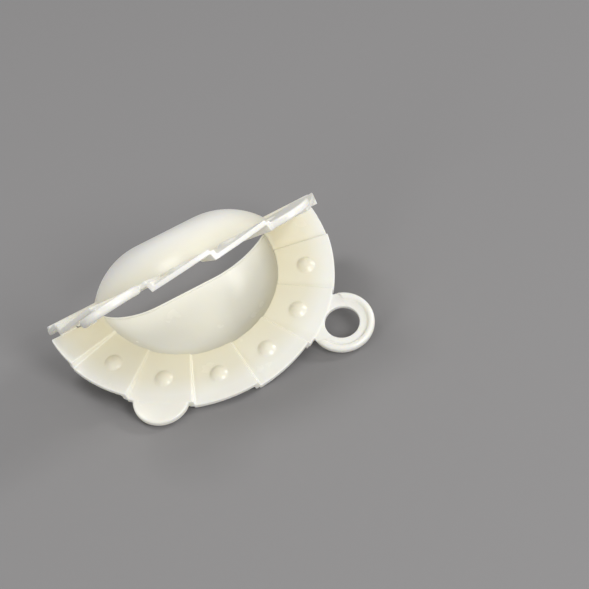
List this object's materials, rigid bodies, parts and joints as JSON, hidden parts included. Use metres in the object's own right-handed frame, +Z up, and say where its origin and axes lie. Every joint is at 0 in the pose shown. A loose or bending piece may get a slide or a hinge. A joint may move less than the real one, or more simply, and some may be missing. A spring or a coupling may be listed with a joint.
{
  "type": "empanada press",
  "caption": "Hinged half-disc press with pleated jaws, a bowl in the middle, a hanging ring and a thumb tab, for folding and crimping filled dough rounds.",
  "frame": {"origin": "middle of the footprint, on the surface that the press rests on", "axes": "+X along the hinge line, towards the lower jaw's pin; +Y from the curved rim towards the hinge; +Z up"},
  "size_m": [0.0902, 0.0562, 0.0494],
  "materials": {
    "ivory_plastic": "softly glossy moulded plastic, a little translucent where it is thin"
  },
  "bodies": {
    "lower_half": {"lower_jaw": "ivory_plastic"},
    "upper_half": {"upper_jaw": "ivory_plastic"}
  },
  "joints": [
    {"name": "snap_hinge", "type": "hinge", "parent": "lower_half", "child": "upper_half", "pos_m": [0.00004, 0.02159, 0.01694], "axis": [0.999, -0.0068, 0.0449], "range_deg": [-124.6, 55.4]}
  ]
}
